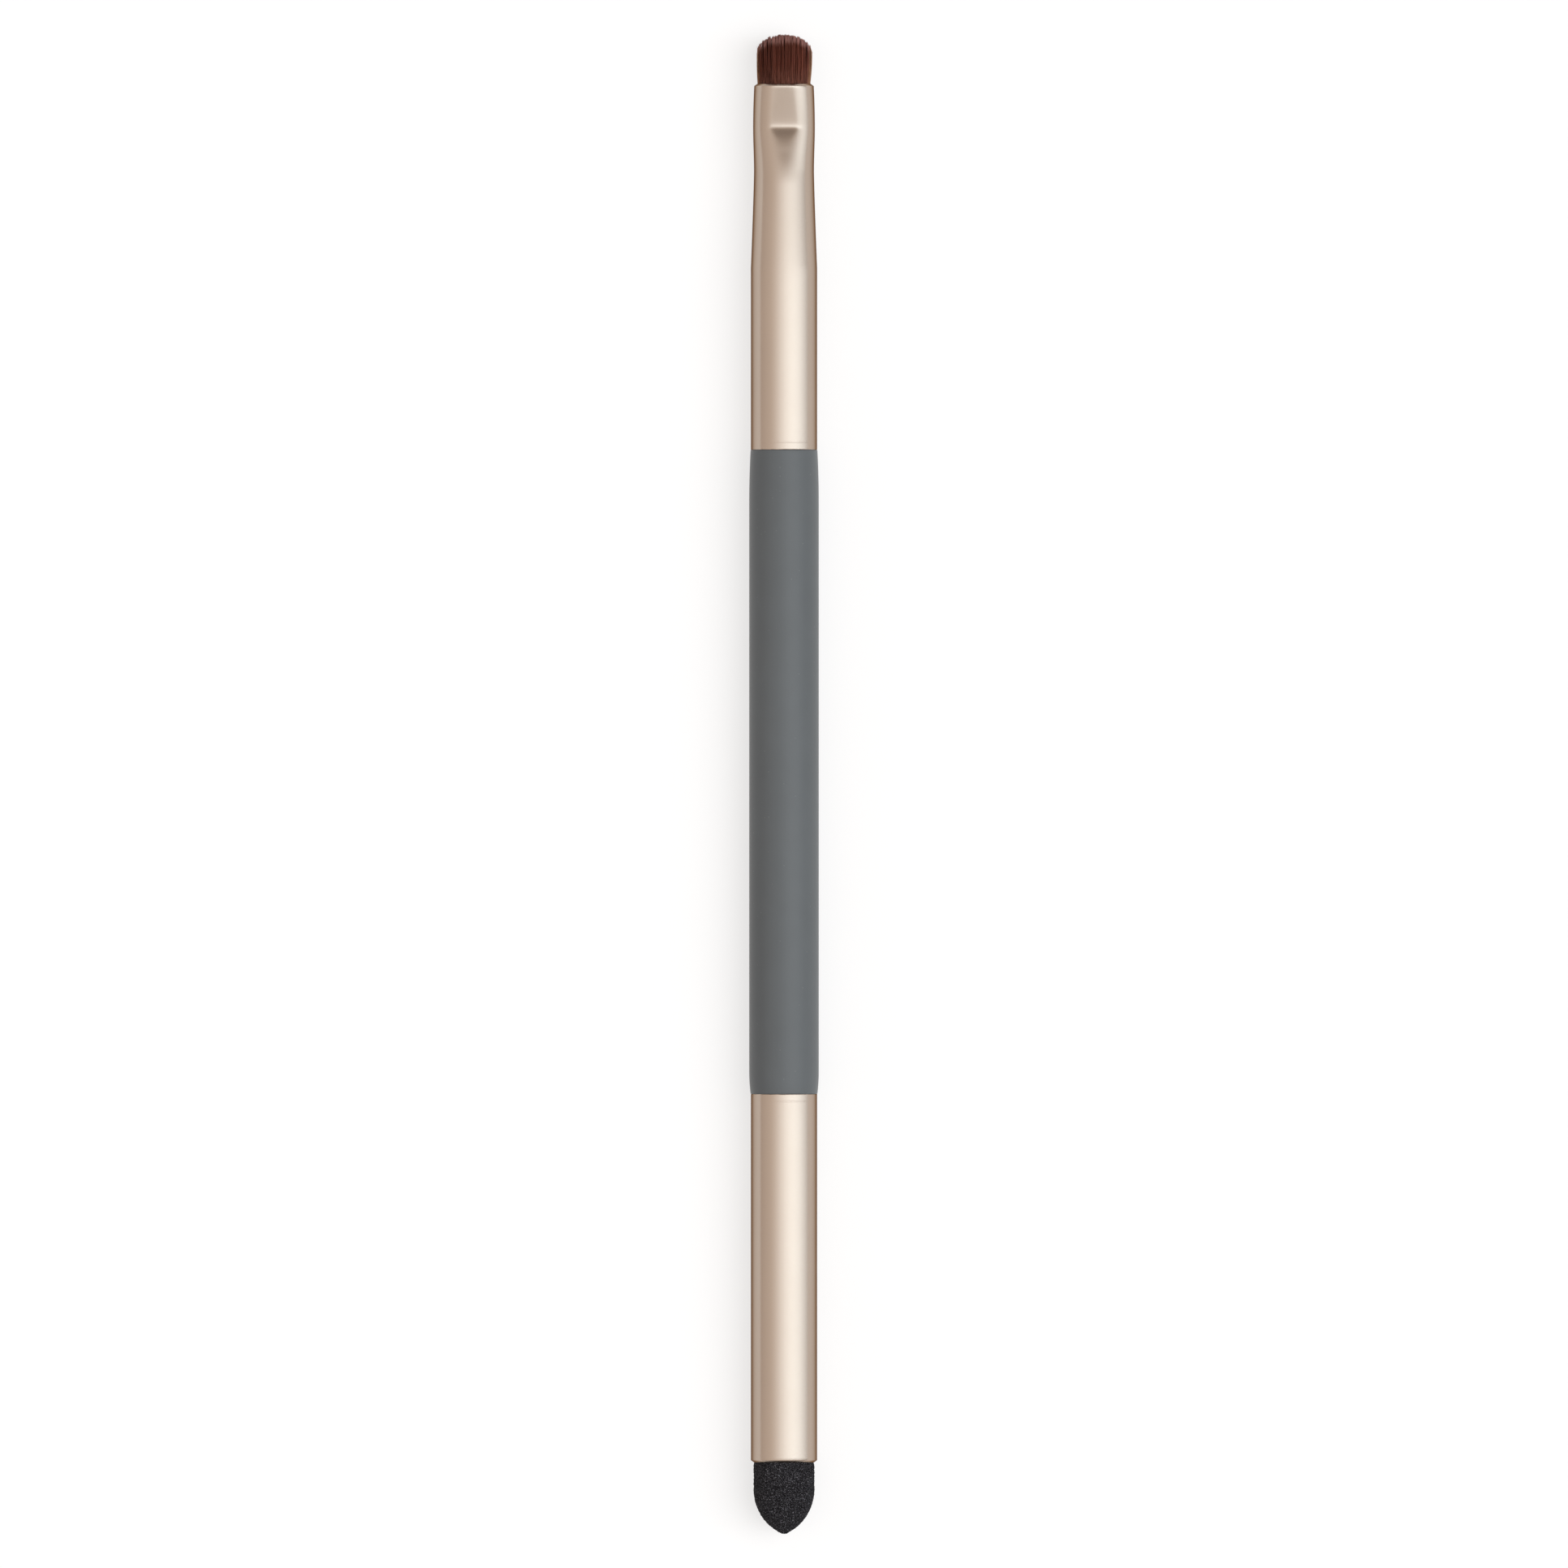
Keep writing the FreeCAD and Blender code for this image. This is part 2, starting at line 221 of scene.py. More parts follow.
def add(tree, kind, inputs=None, **settings):
    """Adds a node with settings, and sets its inputs or links them to sockets or to nodes' first outputs."""
    node = tree.nodes.new(kind)
    for name, value in settings.items():
        setattr(node, name, value)
    for name, value in (inputs or {}).items():
        if isinstance(value, bpy.types.Node):
            value = value.outputs[0]
        if isinstance(value, bpy.types.NodeSocket):
            tree.links.new(value, node.inputs[name])
        else:
            node.inputs[name].default_value = value
    return node


def material(name):
    """New material, its empty tree and its Object coordinates."""
    made = bpy.data.materials.new(name)
    made.use_nodes = True
    tree = made.node_tree
    tree.nodes.clear()
    place = add(tree, "ShaderNodeTexCoord").outputs["Object"]
    return made, tree, place


def surface(tree, inputs, relief=None):
    """Ends a tree in a Principled shader with these inputs, and with a Bump node where a relief is given."""
    if relief:
        inputs = {**inputs, "Normal": add(tree, "ShaderNodeBump", relief)}
    shader = add(tree, "ShaderNodeBsdfPrincipled", inputs)
    add(tree, "ShaderNodeOutputMaterial", {"Surface": shader})


def rgba(values):
    """Colour with full opacity."""
    return (*values, 1)


def mottled(tree, place, width, detail, dark, light):
    """Colour that wanders between two tones in patches of a width, and the noise that it follows."""
    noisy = {"Vector": place, "Scale": 1 / width, "Detail": detail}
    patches = add(tree, "ShaderNodeTexNoise", noisy).outputs["Fac"]
    tones = {0: patches, COLOUR_A: rgba(dark), COLOUR_B: rgba(light)}
    return add(tree, "ShaderNodeMix", tones, data_type="RGBA").outputs[COLOUR_OUT], patches


def soft_touch_lacquer(settings):
    """Sprayed matte lacquer: an even grey with a soft sheen, a fine orange peel and stray specks of dust."""
    made, tree, place = material("matte_soft_touch_lacquer")
    base = Vector(settings.lacquer)
    tone, _ = mottled(tree, place, 3 * MM, 3, base * 0.94, base * 1.06)
    # Dust specks are 0.05 mm and wouldn't show, so their cells are drawn 0.4 mm wide
    dust = add(tree, "ShaderNodeTexVoronoi", {"Vector": place, "Scale": 1 / (0.4 * MM)}).outputs
    round_speck = {0: dust["Distance"], FROM_MIN: 0.1, FROM_MAX: 0.16, TO_MIN: 1, TO_MAX: 0}
    speck = add(tree, "ShaderNodeMapRange", round_speck)
    clean_share, speck_strength = 0.93, 0.14
    chance = add(tree, "ShaderNodeSeparateColor", {"Color": dust["Color"]})
    rare = add(tree, "ShaderNodeMath", {0: chance, 1: clean_share}, operation="GREATER_THAN")
    shown = add(tree, "ShaderNodeMath", {0: speck, 1: rare}, operation="MULTIPLY")
    faint = add(tree, "ShaderNodeMath", {0: shown, 1: speck_strength}, operation="MULTIPLY")
    specks = {0: faint, COLOUR_A: tone, COLOUR_B: rgba(linear("#b9bdbd"))}
    dusty = add(tree, "ShaderNodeMix", specks, data_type="RGBA").outputs[COLOUR_OUT]
    peel = add(tree, "ShaderNodeTexNoise", {"Vector": place, "Scale": 1 / (0.35 * MM), "Detail": 2})
    surface(
        tree,
        {"Base Color": dusty, "Roughness": 0.42, "IOR": 1.45},
        {"Height": peel.outputs["Fac"], "Distance": 0.01 * MM, "Strength": 0.5},
    )
    return made


def satin_aluminium(settings):
    """Blasted and anodised aluminium: a wide soft highlight that breaks into a fine dapple at its edges."""
    made, tree, place = material("satin_anodised_aluminium")
    base = Vector(settings.metal)
    tone, cloud = mottled(tree, place, 5 * MM, 3, base * 0.97, base * 1.03)
    rough = add(tree, "ShaderNodeMapRange", {0: cloud, TO_MIN: 0.18, TO_MAX: 0.21})
    # The blasted dimples are about 0.03 mm; they are drawn 0.08 mm wide, so that they show
    dapple = add(tree, "ShaderNodeTexNoise", {"Vector": place, "Scale": 1 / (0.08 * MM), "Detail": 1})
    glare = rgba(linear("#8a7060"))
    surface(
        tree,
        {"Base Color": tone, "Metallic": 1, "Specular Tint": glare, "Roughness": rough},
        {"Height": dapple.outputs["Fac"], "Distance": 0.0015 * MM, "Strength": 1},
    )
    return made


def dyed_bristle(settings):
    """Dyed synthetic filament: dull red-brown, browner at the ferrule, pale tips, and a painted tan highlight
    at the sides.
    """
    made, tree, _ = material("dyed_synthetic_bristle")
    names = ("along", "tone", "side")
    carried = [add(tree, "ShaderNodeAttribute", attribute_name=name) for name in names]
    along, tone, side = (node.outputs["Fac"] for node in carried)
    # Light bristles turn pale a little lower than dark ones
    lead, reddened, paling = 0.12, 0.5, 0.92
    reach = add(tree, "ShaderNodeMath", {0: tone, 1: lead, 2: along}, operation="MULTIPLY_ADD")
    ramp = add(tree, "ShaderNodeValToRGB", {"Fac": reach})
    stops = ramp.color_ramp.elements
    stops[0].color = rgba(settings.root)
    stops[1].color = rgba(settings.tip)
    for place in (reddened, paling):
        stops.new(place).color = rgba(settings.middle)
    # Bristles at the sides are mixed towards the edge tan, a painted highlight
    sides = {0: side, COLOUR_A: ramp.outputs["Color"], COLOUR_B: rgba(settings.edge)}
    lit = add(tree, "ShaderNodeMix", sides, data_type="RGBA").outputs[COLOUR_OUT]
    shade = add(tree, "ShaderNodeMapRange", {0: tone, TO_MIN: 0.7, TO_MAX: 1.3})
    shades = {0: 1, COLOUR_A: lit, COLOUR_B: shade}
    toned = add(tree, "ShaderNodeMix", shades, data_type="RGBA", blend_type="MULTIPLY").outputs[COLOUR_OUT]
    dull = {"Roughness": 0.55, "Specular IOR Level": 0.2, "Transmission Weight": 0.1}
    surface(tree, {"Base Color": toned, **dull})
    return made


def charcoal_foam(settings):
    """Fine open-cell foam: near black, with painted highlights on a net of short struts and painted glints on
    a few.
    """
    made, tree, place = material("open_cell_foam")
    bend = add(tree, "ShaderNodeTexNoise", {"Vector": place, "Scale": 1 / (0.25 * MM), "Detail": 1})
    swerve = {0: bend.outputs["Color"], "Scale": 0.15 * MM}
    wander = add(tree, "ShaderNodeVectorMath", swerve, operation="SCALE")
    wormy = add(tree, "ShaderNodeVectorMath", {0: place, 1: wander}, operation="ADD")
    net = {"Vector": wormy, "Scale": 1 / settings.cell}
    cells = add(tree, "ShaderNodeTexVoronoi", net, feature="DISTANCE_TO_EDGE").outputs["Distance"]
    thick = {0: cells, FROM_MIN: 0.03, FROM_MAX: 0.16, TO_MIN: 1, TO_MAX: 0}
    strut = add(tree, "ShaderNodeMapRange", thick)
    patchy = {"Vector": place, "Scale": 1 / (0.1 * MM), "Detail": 1}
    patch = add(tree, "ShaderNodeTexNoise", patchy).outputs["Fac"]
    # Struts in random patches are painted lighter, as highlights
    lit = add(tree, "ShaderNodeMapRange", {0: patch, FROM_MIN: 0.42, FROM_MAX: 0.66})
    strut_highlight = add(tree, "ShaderNodeMath", {0: strut, 1: lit}, operation="MULTIPLY")
    strut_highlights = {0: strut_highlight, COLOUR_A: rgba(settings.foam), COLOUR_B: rgba(settings.strut_highlight)}
    tone = add(tree, "ShaderNodeMix", strut_highlights, data_type="RGBA").outputs[COLOUR_OUT]
    # The brightest patches get a painted glint
    glint = add(tree, "ShaderNodeMapRange", {0: patch, FROM_MIN: 0.68, FROM_MAX: 0.76})
    glints = {0: glint, COLOUR_A: tone, COLOUR_B: rgba(linear("#9a9aa3"))}
    bright = add(tree, "ShaderNodeMix", glints, data_type="RGBA").outputs[COLOUR_OUT]
    surface(
        tree,
        {"Base Color": bright, "Roughness": 0.8, "Specular IOR Level": 0.12},
        {"Height": strut, "Distance": 0.04 * MM, "Strength": 0.8},
    )
    return made


def waxed_thread():
    """Wound waxed thread: pale turns side by side round the axis."""
    made, tree, place = material("waxed_thread")
    wound = {"Vector": place, "Scale": 1 / (0.6 * MM), "Distortion": 0.3}
    turns = add(tree, "ShaderNodeTexWave", wound, bands_direction="Y").outputs["Fac"]
    # The grooves between the turns are painted darker, as shade
    tones = {0: turns, COLOUR_A: rgba(linear("#a3977f")), COLOUR_B: rgba(linear("#d8ceb8"))}
    tone = add(tree, "ShaderNodeMix", tones, data_type="RGBA").outputs[COLOUR_OUT]
    surface(tree, {"Base Color": tone, "Roughness": 0.55}, {"Height": turns, "Distance": 0.05 * MM})
    return made


def set_epoxy():
    """Set epoxy: amber, glossy and a little cloudy."""
    made, tree, place = material("set_epoxy")
    tone, _ = mottled(tree, place, 1.5 * MM, 2, linear("#b78d4c"), linear("#d9bd86"))
    surface(tree, {"Base Color": tone, "Roughness": 0.2, "IOR": 1.55})
    return made


def moulded_plastic():
    """Moulded polypropylene: translucent white gone grey, with a dull as-moulded skin."""
    made, tree, place = material("moulded_polypropylene")
    tone, skin = mottled(tree, place, 0.4 * MM, 3, linear("#bdbdb9"), linear("#c9c9c5"))
    surface(tree, {"Base Color": tone, "Roughness": 0.45}, {"Height": skin, "Distance": 0.01 * MM})
    return made


def steps(start, end, count):
    """Even steps from start to end, both included."""
    return [start + (end - start) * step / count for step in range(count + 1)]


def rounded(corners, reach, count=4):
    """Outline through (radius, along) corners, each rounded off by a short curve."""
    most_of_side = 0.45
    points = [Vector(corner) for corner in corners]
    outline = [points[0]]
    for before, corner, after in zip(points, points[1:], points[2:]):
        ways = [before - corner, after - corner]
        near, far = (corner + way.normalized() * min(reach, way.length * most_of_side) for way in ways)
        for share in steps(0, 1, count):
            outline.append(near.lerp(corner, share).lerp(corner.lerp(far, share), share))
    outline.append(points[-1])
    return outline


def oval(along, half, sides, squareness=2, floor=None, soften=0):
    """Ring of points across the axis on an oval of half sizes, dented above and below by a flatter oval."""
    ring = []
    for step in range(sides):
        angle = 2 * math.pi * step / sides
        across, through = math.cos(angle), math.sin(angle)
        closeness = abs(across / half.x) ** squareness + abs(through / half.y) ** squareness
        reach = closeness ** (-1 / squareness)
        if floor:
            dented = 1 / math.hypot(across / floor.x, through / floor.y)
            reach = (reach + dented) / 2 - math.hypot((reach - dented) / 2, soften)
        ring.append(Vector((reach * across, along, reach * through)))
    return ring


def turned(outline, sides):
    """Rings of a body of revolution from its (radius, along) outline; the ends lie on the axis."""
    return [oval(along, Vector((1, 1)) * max(radius, LEAST_RADIUS), sides) for radius, along in outline]


def skinned(name, rings, endless=False):
    """Mesh through rings of points, each ring closed; endless joins the last ring to the first."""
    sides = len(rings[0])
    spans = len(rings) if endless else len(rings) - 1
    faces = []
    for span in range(spans):
        low = span * sides
        high = (span + 1) % len(rings) * sides
        for side in range(sides):
            after = (side + 1) % sides
            faces.append((low + side, low + after, high + after, high + side))
    mesh = bpy.data.meshes.new(name)
    mesh.from_pydata([point for ring in rings for point in ring], [], faces)
    shape = bmesh.new()
    shape.from_mesh(mesh)
    bmesh.ops.remove_doubles(shape, verts=shape.verts, dist=SAME_PLACE)
    bmesh.ops.recalc_face_normals(shape, faces=shape.faces)
    shape.to_mesh(mesh)
    shape.free()
    mesh.shade_smooth()
    return mesh


def place_piece(piece, finish, node):
    """Gives a piece its finish and lets it stand for its CAD node."""
    piece.data.materials.clear()
    piece.data.materials.append(finish)
    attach(piece, BODY)
    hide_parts(node)


def new_object(name, mesh):
    """Object for a mesh, at the origin."""
    made = bpy.data.objects.new(name, mesh)
    bpy.context.scene.collection.objects.link(made)
    return made


def geometry_tree(name, inputs):
    """New Geometry Nodes tree with named inputs, given by their kind of socket, and those inputs' sockets."""
    tree = bpy.data.node_groups.new(name, "GeometryNodeTree")
    for way in ("INPUT", "OUTPUT"):
        tree.interface.new_socket("Geometry", in_out=way, socket_type="NodeSocketGeometry")
    for kind, names in inputs.items():
        for label in names:
            tree.interface.new_socket(label, in_out="INPUT", socket_type=kind)
    return tree, add(tree, "NodeGroupInput").outputs


def end_tree(tree, geometry, finish):
    """Ends a Geometry Nodes tree: makes instances real and sets the material."""
    real = add(tree, "GeometryNodeRealizeInstances", {"Geometry": geometry})
    dressed = add(tree, "GeometryNodeSetMaterial", {"Geometry": real, "Material": finish})
    add(tree, "NodeGroupOutput", {0: dressed})


def grown(name, mesh, tree, values):
    """Object whose mesh is what a Geometry Nodes tree makes of another mesh."""
    piece = new_object(name, mesh)
    modifier = piece.modifiers.new(name, "NODES")
    modifier.node_group = tree
    for item in tree.interface.items_tree:
        if item.in_out == "INPUT" and item.name in values:
            modifier[item.identifier] = values[item.name]
    ready = piece.evaluated_get(bpy.context.evaluated_depsgraph_get())
    made = bpy.data.meshes.new_from_object(ready)
    piece.modifiers.clear()
    piece.data = made
    made.name = name
    return piece


def grip_outline(settings):
    """Outline of the handle from the foam tenon's nose to the brush tenon's, as (radius, along)."""

    def half(joint, nose):
        away = math.copysign(1, nose - joint)
        ease = abs(joint) - STRAIGHT_GRIP / 2
        swell = GRIP_RADIUS - settings.shoulder_radius
        ease_radius = (swell**2 + ease**2) / (2 * swell)
        curve = []
        for reach in steps(0, ease, 16):
            drop = ease_radius - math.sqrt(ease_radius**2 - reach**2)
            curve.append((GRIP_RADIUS - drop, away * (STRAIGHT_GRIP / 2 + reach)))
        corners = [curve[-1], (settings.tenon_radius, joint)]
        for count in range(settings.groove_count):
            middle = joint + (nose - joint) * (count + 1) / (settings.groove_count + 1)
            near, far = (middle + away * side * settings.groove_width / 2 for side in (-1, 1))
            floor = settings.tenon_radius - settings.groove_depth
            corners += [(settings.tenon_radius, near), (floor, near)]
            corners += [(floor, far), (settings.tenon_radius, far)]
        corners += [(settings.tenon_radius, nose), (0, nose)]
        return curve[:-1] + rounded(curve[-2:-1] + corners, settings.rounding)[1:]

    brush_half = half(BRUSH_JOINT, BRUSH_TENON)
    foam_half = half(FOAM_JOINT, FOAM_TENON)
    return foam_half[::-1] + brush_half


class EYEBRUSH_OT_grip(Operator):
    """Turned and lacquered handle with its two tenons"""

    bl_idname = "eyebrush.grip"
    bl_label = "Make grip"

    def execute(self, context):
        settings = context.scene.eyebrush.grip
        mesh = skinned("grip", turned(grip_outline(settings), GRIP_SIDES))
        mesh.set_sharp_from_angle(angle=math.radians(40))
        place_piece(new_object("grip", mesh), soft_touch_lacquer(settings), "handle")
        return {"FINISHED"}


def pressed_section(settings, back):
    """Brush ferrule's section back from its mouth: half sizes, squareness and the oval of its dents."""
    jaw = settings.press_length
    neck_back = BRUSH_MOUTH - NECK
    taper = min(1, (back - neck_back) / settings.taper_length)
    mouth, crease, neck = settings.mouth_width / 2, settings.crease_width / 2, settings.neck_width / 2
    if back <= jaw:
        half_width = crease + (mouth - crease) * (1 - back / jaw) ** 2
    elif back <= neck_back:
        share = (back - jaw) / (neck_back - jaw)
        half_width = crease + (neck - crease) * share**2 * (3 - 2 * share)
    else:
        half_width = neck + (TUBE_RADIUS - neck) * taper**TAPER_FLARE
    to_tube = neck_back + settings.taper_length - back
    narrowed = (to_tube + math.hypot(to_tube, settings.taper_rounding)) / 2 / settings.taper_length
    half = Vector((half_width, TUBE_RADIUS + (settings.neck_thickness / 2 - TUBE_RADIUS) * narrowed))

    # The jaws flatten and square the oval, which springs back towards the mouth and fades behind the crease
    away = math.hypot(back - jaw, settings.press_rounding) - settings.press_rounding
    sprung = (settings.mouth_thickness - settings.crease_thickness) * away / jaw if back < jaw else 0
    press = 1 if back < jaw else max(0, 1 - away / settings.press_fade) ** 2
    half.y += ((settings.crease_thickness + sprung) / 2 - half.y) * press
    squareness = 2 + (settings.squareness - 2) * press

    # Their dents deepen from the mouth to the crease, and a scoop climbs out from there
    pressed = settings.mouth_dent + (settings.crease_dent - settings.mouth_dent) * back / jaw
    climb = 1 - (back - jaw) / settings.scoop_length
    scooped = settings.crease_dent * climb * abs(climb)
    depth = (pressed + scooped) / 2 - math.hypot((pressed - scooped) / 2, settings.crease_rounding)
    height = half.y - depth
    return half, squareness, Vector((math.sqrt(settings.dent_radius * height), height))


def ferrule_mesh(name, settings, section, joint, mouth, stations):
    """Tube with a rolled lip at its mouth and a slightly ragged edge at the grip, from its section's law."""
    away = math.copysign(1, mouth - joint)
    whole = abs(mouth - joint)
    plain = settings.lip_depth + 0.3 * MM
    burr = 0.12 * MM
    groove_place, groove_reach, groove_depth = 0.8 * MM, 0.08 * MM, 0.003 * MM
    lip_rounding, edge_rounding = 0.04 * MM, 0.03 * MM
    rag_width, rag_middle = 0.5 * MM, 0.7
    bore_step = 4

    # The wall's outline as its inset from the outside and its place back from the mouth
    lip = [
        (settings.wall, plain),
        (settings.wall, settings.lip_depth),
        (settings.lip_roll + settings.lip_edge, 0),
        (settings.lip_roll, 0),
        (0, settings.lip_depth),
        (0, plain),
    ]
    edge = [(0, whole - burr), (0, whole), (settings.wall, whole), (settings.wall, whole - burr)]
    middle = [back for back in stations if plain < back < whole - burr]
    outline = rounded(lip, lip_rounding) + [(0, back) for back in middle]
    outline += rounded(edge, edge_rounding) + [(settings.wall, back) for back in middle[::-bore_step]]

    rings = []
    for inset, back in outline:
        from_edge = whole - back
        if inset == 0:
            inset = groove_depth * math.exp(-(((from_edge - groove_place) / groove_reach) ** 2))
        inwards = Vector((inset, inset))
        half, squareness, floor = section(back)
        floor = floor and floor - inwards
        along = mouth - away * back
        ring = oval(along, half - inwards, FERRULE_SIDES, squareness, floor, settings.dent_rounding)
        for point in ring:
            spot = Vector((point.x, mouth, point.z)) / rag_width
            rag = settings.ragged * max(0, 1 - from_edge / burr)
            point.y += away * rag * (rag_middle + noise.noise(spot))
        rings.append(ring)
    mesh = skinned(name, rings, endless=True)
    mesh.set_sharp_from_angle(angle=math.radians(50))
    return mesh


class EYEBRUSH_OT_brush_ferrule(Operator):
    """Tapered tube, pinched behind the bristles and rolled in at its edge"""

    bl_idname = "eyebrush.brush_ferrule"
    bl_label = "Make brush ferrule"

    def execute(self, context):
        settings = context.scene.eyebrush.ferrule
        whole = BRUSH_MOUTH - BRUSH_JOINT
        neck_back = BRUSH_MOUTH - NECK
        tube_back = neck_back + settings.taper_length
        stations = steps(0, settings.press_length, 70)[:-1] + steps(settings.press_length, neck_back, 70)[:-1]
        stations += steps(neck_back, tube_back, 40)[:-1] + steps(tube_back, whole - EDGE_ZONE, 20)[:-1]
        stations += steps(whole - EDGE_ZONE, whole - EDGE_GAP, 40)

        def section(back):
            return pressed_section(settings, back)

        mesh = ferrule_mesh("pinched_ferrule", settings, section, BRUSH_JOINT, BRUSH_MOUTH, stations)
        finish = bpy.data.materials.get("satin_anodised_aluminium") or satin_aluminium(settings)
        place_piece(new_object("pinched_ferrule", mesh), finish, "brush_ferrule")
        return {"FINISHED"}


class EYEBRUSH_OT_foam_ferrule(Operator):
    """Straight round tube, rolled in at the foam"""

    bl_idname = "eyebrush.foam_ferrule"
    bl_label = "Make foam ferrule"

    def execute(self, context):
        settings = context.scene.eyebrush.ferrule
        whole = FOAM_JOINT - FOAM_MOUTH
        stations = steps(0, whole - EDGE_ZONE, 40)[:-1] + steps(whole - EDGE_ZONE, whole - EDGE_GAP, 40)

        def section(back):
            return Vector((TUBE_RADIUS, TUBE_RADIUS)), 2, None

        mesh = ferrule_mesh("straight_ferrule", settings, section, FOAM_JOINT, FOAM_MOUTH, stations)
        finish = bpy.data.materials.get("satin_anodised_aluminium") or satin_aluminium(settings)
        place_piece(new_object("straight_ferrule", mesh), finish, "foam_ferrule")
        return {"FINISHED"}


def bristle_tree():
    """Bristles spread evenly over the tuft's oval, standing along Z, then laid along the brush."""
    places = ("Place", "Mouth Place", "Crown Place")
    sections = ("Root Section", "Mouth Section", "Tuft Section")
    shapes = ("Dome Fall", "Clump Shape", "Lean From", "Lean To")
    amounts = ("Dome", "Spacing", "Density", "Bristle Radius", "Clumps", "Clump Fall", "Drawn")
    tree, size = geometry_tree(
        "bristles",
        {
            "NodeSocketVector": places + sections + shapes,
            "NodeSocketFloat": amounts,
            "NodeSocketInt": ("Seed",),
            "NodeSocketMaterial": ("Material",),
        },
    )
    numbers, vectors = "ShaderNodeMath", "ShaderNodeVectorMath"

    # One point for each bristle; its spot is its place on a unit disc
    disc = add(tree, "GeometryNodeMeshCircle", {"Vertices": 96, "Radius": 1}, fill_type="NGON")
    bed = add(tree, "GeometryNodeTransform", {"Geometry": disc, "Scale": size["Tuft Section"]})
    sown = {"Distance Min": size["Spacing"], "Density Max": size["Density"], "Seed": size["Seed"]}
    sower = "GeometryNodeDistributePointsOnFaces"
    points = add(tree, sower, {"Mesh": bed, **sown}, distribute_method="POISSON")
    place = add(tree, "GeometryNodeInputPosition")
    spot = add(tree, vectors, {0: place, 1: size["Tuft Section"]}, operation="DIVIDE")

    # Tips are drawn into clumps that are deeper than wide, and each one leans and ends a little on its own
    shape = size["Clump Shape"]
    shallow = add(tree, vectors, {0: spot, 1: shape}, operation="MULTIPLY")
    split = {"Vector": shallow, "Scale": size["Clumps"]}
    clumps = add(tree, "ShaderNodeTexVoronoi", split, voronoi_dimensions="2D").outputs
    centre = add(tree, vectors, {0: clumps["Position"], 1: shape}, operation="DIVIDE")
    chance = add(tree, "FunctionNodeSeparateColor", {0: clumps["Color"]}).outputs
    pull = {0: size["Drawn"], VECTOR_A: spot, VECTOR_B: centre}
    end_spot = add(tree, "ShaderNodeMix", pull, data_type="VECTOR").outputs[VECTOR_OUT]
    lean = {0: size["Lean From"], 1: size["Lean To"], "Seed": size["Seed"]}
    alone = add(tree, "FunctionNodeRandomValue", lean, data_type="FLOAT_VECTOR")

    # Where a bristle is bound, where it passes the mouth and where it ends under the dome
    root = add(tree, vectors, {0: spot, 1: size["Root Section"]}, operation="MULTIPLY")
    passing = {0: spot, 1: size["Mouth Section"], 2: size["Mouth Place"]}
    mouth = add(tree, vectors, passing, operation="MULTIPLY_ADD")
    ending = {0: end_spot, 1: size["Tuft Section"], 2: size["Crown Place"]}
    crown = add(tree, vectors, ending, operation="MULTIPLY_ADD")
    flattened = add(tree, vectors, {0: spot, 1: size["Dome Fall"]}, operation="MULTIPLY")
    square = add(tree, vectors, {0: flattened, 1: flattened}, operation="DOT_PRODUCT").outputs["Value"]
    fall = add(tree, numbers, {0: 1, 1: square}, operation="SUBTRACT", use_clamp=True)
    rise = add(tree, numbers, {0: fall, 1: DOME_FLARE}, operation="POWER")
    dome = add(tree, numbers, {0: rise, 1: size["Dome"]}, operation="MULTIPLY")
    short = add(tree, numbers, {0: chance[1], 1: size["Clump Fall"]}, operation="MULTIPLY")
    height = add(tree, numbers, {0: dome, 1: short}, operation="SUBTRACT")
    top = add(tree, "ShaderNodeCombineXYZ", {"Z": height})
    ended = add(tree, vectors, {0: crown, 1: top}, operation="ADD")
    tip = add(tree, vectors, {0: ended, 1: alone}, operation="ADD")

    # Clumps share part of their tone, and the bristles at the sides are marked for a painted highlight, as if
    # they caught more light
    shared, lit_side_start, lit_side_share = 0.4, 0.88, 0.75
    darkest = add(tree, numbers, {0: chance[0], 1: shared}, operation="MULTIPLY")
    lightest = add(tree, numbers, {0: darkest, 1: 1 - shared}, operation="ADD")
    tone = add(tree, "FunctionNodeRandomValue", {2: darkest, 3: lightest, "Seed": size["Seed"]}).outputs[1]
    off_middle = add(tree, vectors, {0: spot}, operation="ABSOLUTE")
    off_across = add(tree, "ShaderNodeSeparateXYZ", {0: off_middle})
    sides = {0: off_across, FROM_MIN: lit_side_start, TO_MAX: lit_side_share}
    side = add(tree, "ShaderNodeMapRange", sides)
    stored = {"root": root, "mouth": mouth, "tip": tip, "bow": alone, "tone": tone, "side": side}
    for name, value in stored.items():
        points = add(
            tree,
            "GeometryNodeStoreNamedAttribute",
            {"Geometry": points, "Name": name, "Value": value},
            data_type="FLOAT_VECTOR" if name in STRAND_PLACES else "FLOAT",
        )

    # A quarter of each strand lies between its root and the mouth, the rest outside
    bound = 0.25
    line = add(tree, "GeometryNodeCurvePrimitiveLine")
    strand = add(tree, "GeometryNodeResampleCurve", {"Curve": line, "Count": 5})
    strands = add(tree, "GeometryNodeInstanceOnPoints", {"Points": points, "Instance": strand})
    curves = add(tree, "GeometryNodeRealizeInstances", {"Geometry": strands})
    along = add(tree, "GeometryNodeSplineParameter").outputs["Factor"]
    inner = add(tree, "ShaderNodeMapRange", {0: along, FROM_MAX: bound})
    outer = add(tree, "ShaderNodeMapRange", {0: along, FROM_MIN: bound})
